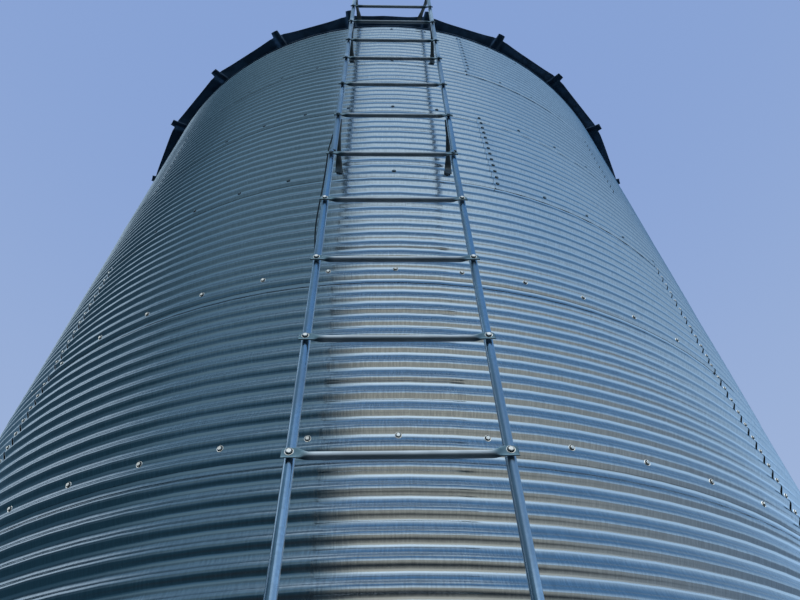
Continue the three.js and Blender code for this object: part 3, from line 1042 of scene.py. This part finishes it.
def wall_steel(groups):
    """Bright galvanised sheet: zinc crystals, upright grain, and a painted highlight line in each trough.
    """
    material, n, shader = new_material("galvanised_wall_sheet", (0.74, 0.76, 0.78), 1.0, 0.16)
    wall = use_group(n, groups["map"], {})
    along = wall.outputs["Along"]
    spangle = use_group(n, groups["spangle"], {"Vector": along, "Size": 0.009})
    streak = use_group(n, groups["patches"], {"Vector": stretched(n, along, (1.2, 1, 26)), "Scale": 2.0})
    grain = n.noise(stretched(n, along, (190, 1, 22)), 1.0, detail=2.0)
    base = n.mix(n.ramp(grain, 0.3, 0.7), (0.60, 0.62, 0.64, 1), (0.80, 0.82, 0.84, 1))
    base = n.mix(n.math("MULTIPLY", spangle.outputs["Shade"], 0.3), base, (0.62, 0.64, 0.67, 1))
    base = n.mix(n.math("MULTIPLY", streak.outputs["Mask"], 0.2), base, (0.52, 0.55, 0.58, 1))
    base = n.mix(n.math("MULTIPLY", wall.outputs["Ring Shade"], 0.22), base, (0.50, 0.53, 0.56, 1))
    # Painted highlight: the base turns near white along each trough's line
    base = n.mix(wall.outputs["Trough Highlight"], base, (0.97, 0.98, 0.99, 1))
    n.feed(shader.inputs["Base Color"], base)
    rough = n.math("ADD", 0.085, n.math("MULTIPLY", spangle.outputs["Shade"], 0.05))
    n.feed(shader.inputs["Roughness"], n.math("ADD", rough, n.math("MULTIPLY", grain, 0.06)))
    bump(n, shader, n.math("ADD", grain, n.math("MULTIPLY", spangle.outputs["Shade"], 0.3)), 0.12, 0.001)
    return material


def plain_steel(groups, name, color, roughness, metallic=0.85):
    """Galvanised steel for the roof, the ladder and the angle rings, with its own colour and shine."""
    material, n, shader = new_material(name, color, metallic, roughness)
    place = n.add("TexCoord").outputs["Object"]
    spangle = use_group(n, groups["spangle"], {"Vector": place, "Size": 0.008})
    patches = use_group(n, groups["patches"], {"Vector": stretched(n, place, (9, 9, 3)), "Scale": 1.0})
    darker = tuple(0.72 * c for c in color) + (1,)
    lighter = tuple(min(1.0, 1.15 * c) for c in color) + (1,)
    base = n.mix(spangle.outputs["Shade"], (*color, 1), lighter)
    base = n.mix(n.math("MULTIPLY", patches.outputs["Mask"], 0.6), base, darker)
    n.feed(shader.inputs["Base Color"], base)
    rough = n.ramp(patches.outputs["Mask"], 0.0, 1.0, roughness - 0.05, roughness + 0.12)
    n.feed(shader.inputs["Roughness"], rough)
    bump(n, shader, spangle.outputs["Grain"], 0.08, 0.001)
    return material


def rung_steel(groups):
    """Dull galvanised tube, its flattened ends round the bolts darkened with painted shade."""
    material, n, shader = new_material("galvanised_rung_tube", (0.35, 0.40, 0.42), 0.4, 0.35)
    place = n.add("TexCoord").outputs["Object"]
    across = n.add("SeparateXYZ", {"Vector": place}).outputs["X"]
    from_middle = n.math("ABSOLUTE", n.math("SUBTRACT", across, LADDER_MIDDLE))
    at_end = n.ramp(from_middle, 0.200, 0.235)
    patches = use_group(n, groups["patches"], {"Vector": stretched(n, place, (9, 9, 3)), "Scale": 1.0})
    spangle = use_group(n, groups["spangle"], {"Vector": place, "Size": 0.008})
    clean = n.mix(patches.outputs["Mask"], (0.29, 0.35, 0.41, 1), (0.23, 0.28, 0.33, 1))
    # Painted shade: the flattened ends are a dark teal, standing for the shade they lie in
    painted_end_shade = n.mix(spangle.outputs["Shade"], (0.05, 0.095, 0.13, 1), (0.07, 0.12, 0.16, 1))
    n.feed(shader.inputs["Base Color"], n.mix(at_end, clean, painted_end_shade))
    bump(n, shader, spangle.outputs["Grain"], 0.08, 0.001)
    return material


def cord_material():
    """Dark braided cord."""
    material, n, shader = new_material("dark_braid", (0.03, 0.035, 0.04), 0.0, 0.75)
    place = n.add("TexCoord").outputs["Object"]
    links = {"Vector": place, "Scale": 260.0, "Distortion": 1.5}
    braid = n.add("TexWave", links, bands_direction="DIAGONAL")
    color = n.mix(braid.outputs["Fac"], (0.018, 0.022, 0.026, 1), (0.05, 0.058, 0.064, 1))
    n.feed(shader.inputs["Base Color"], color)
    bump(n, shader, braid.outputs["Fac"], 0.5, 0.0008)
    return material


# Surroundings

def make_floor():
    """A pale floor. It lights nothing, and the bright wall doesn't mirror it."""
    steps = 96
    angles = np.linspace(0, 360, steps, endpoint=False)
    rim = [round_at(angle) * FLOOR_RADIUS - UP * FLOOR_DROP for angle in angles]
    mesh = bpy.data.meshes.new("floor")
    mesh.from_pydata(rim, [], [list(range(steps))])
    material, _, _ = new_material("pale_floor", (0.80, 0.79, 0.77), 0.0, 0.9)
    mesh.materials.append(material)
    floor = bpy.data.objects.new("floor", mesh)
    bpy.context.scene.collection.objects.link(floor)
    floor.visible_glossy = False
    floor.visible_diffuse = False
    make_lamp("floor_lamp", FLOOR_LAMP_STRENGTH, FLOOR_LAMP_RISE, FLOOR_LAMP_BREADTH, [floor])


def set_view():
    """Colours go to the screen as they are, so that the steel keeps its contrast."""
    bpy.context.scene.view_settings.view_transform = "Standard"


def make_sky():
    """A soft dome of light: blue above, bright low down in front and to the right, dark to the left."""
    world = bpy.data.worlds.new("soft_dome")
    bpy.context.scene.world = world
    world.use_nodes = True
    n = Nodes(world.node_tree)
    background = world.node_tree.nodes["Background"]
    axes = n.add("SeparateXYZ", {"Vector": n.add("TexCoord").outputs["Generated"]})
    side = n.math("ARCTAN2", axes.outputs["X"], n.math("MULTIPLY", axes.outputs["Y"], -1.0))
    height = axes.outputs["Z"]

    def facing(start, end):
        return n.ramp(side, math.radians(start), math.radians(end))

    def rising(start, end):
        return n.ramp(height, start, end)

    def left_tone(tones):
        tone = n.mix(facing(-38, -75), tones["near"], tones["side"])
        return n.mix(facing(-88, -122), tone, tones["back"])

    low = n.mix(facing(8, 45), DOME_LOW["front"], DOME_LOW["right"])
    low = n.mix(facing(80, 120), low, DOME_LOW["back"])
    above = n.mix(rising(0.10, 0.85), low, DOME_HIGH)
    below = n.mix(facing(12, 95), DOME_BELOW["front"], DOME_BELOW["right"])

    gap_from = n.math("SUBTRACT", 0.46, n.math("MULTIPLY", facing(-80, -105), 0.10))
    gap_share = n.ramp(height, gap_from, n.math("ADD", gap_from, 0.14))
    gap = n.mix(facing(-66, -96), LEFT_GAP["side"], LEFT_GAP["back"])
    left_above = n.mix(gap_share, left_tone(LEFT_LOW), gap)
    left_above = n.mix(rising(0.66, 0.86), left_above, left_tone(LEFT_HIGH))
    left_below = n.mix(rising(-0.04, -0.30), LEFT_BELOW["near"], LEFT_BELOW["side"])
    left_below = n.mix(facing(-40, -60), left_below, LEFT_BELOW["side"])
    left_below = n.mix(facing(-88, -122), left_below, LEFT_LOW["back"])

    lean = n.math("SUBTRACT", rising(0.7, 0.2), n.math("MULTIPLY", rising(0.88, 0.96), 5.0))
    edge = n.math("MULTIPLY", lean, math.radians(6))
    left = n.ramp(n.math("SUBTRACT", side, edge), math.radians(-9), math.radians(-23))
    below = n.mix(left, below, left_below)
    below = n.mix(rising(-0.28, -0.55), below, DOME_FOOT)
    above = n.mix(left, above, left_above)
    far = n.ramp(n.math("ABSOLUTE", side), math.radians(130), math.radians(178))
    above = n.mix(far, above, n.mix(rising(0.10, 0.85), DOME_FAR, DOME_HIGH))
    below = n.mix(far, below, DOME_BELOW["right"])
    above = n.mix(rising(0.91, 0.985), above, DOME_ZENITH)
    dome = n.mix(rising(-0.01, 0.03), below, above)
    seen = n.mix(rising(0.3, 1.0), BACKDROP_LOW, BACKDROP_HIGH)
    eye = n.add("LightPath").outputs["Is Camera Ray"]
    n.feed(background.inputs["Color"], n.mix(eye, dome, seen))


def make_lamp(name, strength, rise, breadth, lit_objects):
    """A soft lamp from the left that lights only the given objects. It isn't seen in the bright sheets."""
    lit = bpy.data.collections.new(f"lit_by_{name}")
    bpy.context.scene.collection.children.link(lit)
    for piece in lit_objects:
        lit.objects.link(piece)
    lamp = bpy.data.lights.new(name, "SUN")
    lamp.energy = strength
    lamp.angle = breadth
    lamp.color = LAMP_COLOR
    holder = bpy.data.objects.new(name, lamp)
    bpy.context.scene.collection.objects.link(holder)
    toward = outward_at(LAMP_SIDE) * math.cos(rise) + UP * math.sin(rise)
    holder.rotation_euler = toward.to_track_quat("Z", "Y").to_euler()
    holder.visible_glossy = False
    holder.light_linking.receiver_collection = lit
    return lamp


def make_ladder_light():
    """A lamp for the rungs and the bright bolts. Shadows would hide the rims of the bolts."""
    lit = []
    for piece in bpy.context.scene.objects:
        finish = piece.active_material
        if finish and finish.name in LAMPLIT_FINISHES:
            lit.append(piece)
    lamp = make_lamp("ladder_lamp", LADDER_LAMP_STRENGTH, LADDER_LAMP_RISE, LADDER_LAMP_BREADTH, lit)
    lamp.use_shadow = False


def main():
    make_camera()
    make_floor()
    make_sky()
    set_view()
    groups = {"map": wall_map_group(), "spangle": spangle_group(), "patches": blotch_group()}
    wall = wall_steel(groups)
    roof = plain_steel(groups, "galvanised_roof_sheet", (0.40, 0.45, 0.49), 0.45)
    # Painted shade: a dark teal for the roof's underside and the eave ring, standing for the shade under
    # the eave
    underside = plain_steel(groups, "shaded_roof_underside", (0.035, 0.085, 0.15), 0.55, 0.5)
    # Painted reflection: the rails' steel is tinted blue, standing for the sky it reflects
    ladder = plain_steel(groups, "sky_tinted_ladder_tube", (0.60, 0.71, 0.82), 0.24, 1.0)
    # Painted shade: the struts' dark base colour stands in for the shade they lie in
    strut = plain_steel(groups, "shaded_strut_tube", (0.17, 0.19, 0.20), 0.42, 0.6)
    rung = rung_steel(groups)
    angle = plain_steel(groups, "galvanised_rolled_angle", (0.36, 0.40, 0.44), 0.45)
    zinc = plain_steel(groups, "zinc_plated_bolt", (0.78, 0.81, 0.80), 0.28, 0.6)
    # Painted shade: a near-black finish for the bolts' necks, standing for the shade under their caps
    neck_shade = plain_steel(groups, "bolt_neck_painted_shade", (0.035, 0.045, 0.05), 0.60, 0.2)
    # A darker copy of the bolts' steel for the upper bolts, which the ladder lamp leaves unlit
    dull = plain_steel(groups, "darker_upper_bolt", (0.40, 0.46, 0.50), 0.45, 0.6)
    bolts = (zinc, neck_shade, zinc)
    dull_bolts = (dull, neck_shade, dull)
    for ring in range(RING_COUNT):
        make_wall_ring(ring, wall)
        make_wall_bolts(ring, bolts if ring < DULL_BOLTS_FROM else dull_bolts)
    make_base_ring(angle)
    make_eave_ring(underside)
    make_roof(roof, underside)
    make_peak(roof)
    make_rails(ladder)
    make_rungs(rung)
    make_rung_bolts({"lower": bolts, "upper": dull_bolts})
    make_wall_struts(strut)
    make_eave_struts(strut)
    make_cord(cord_material())
    make_ladder_light()


main()
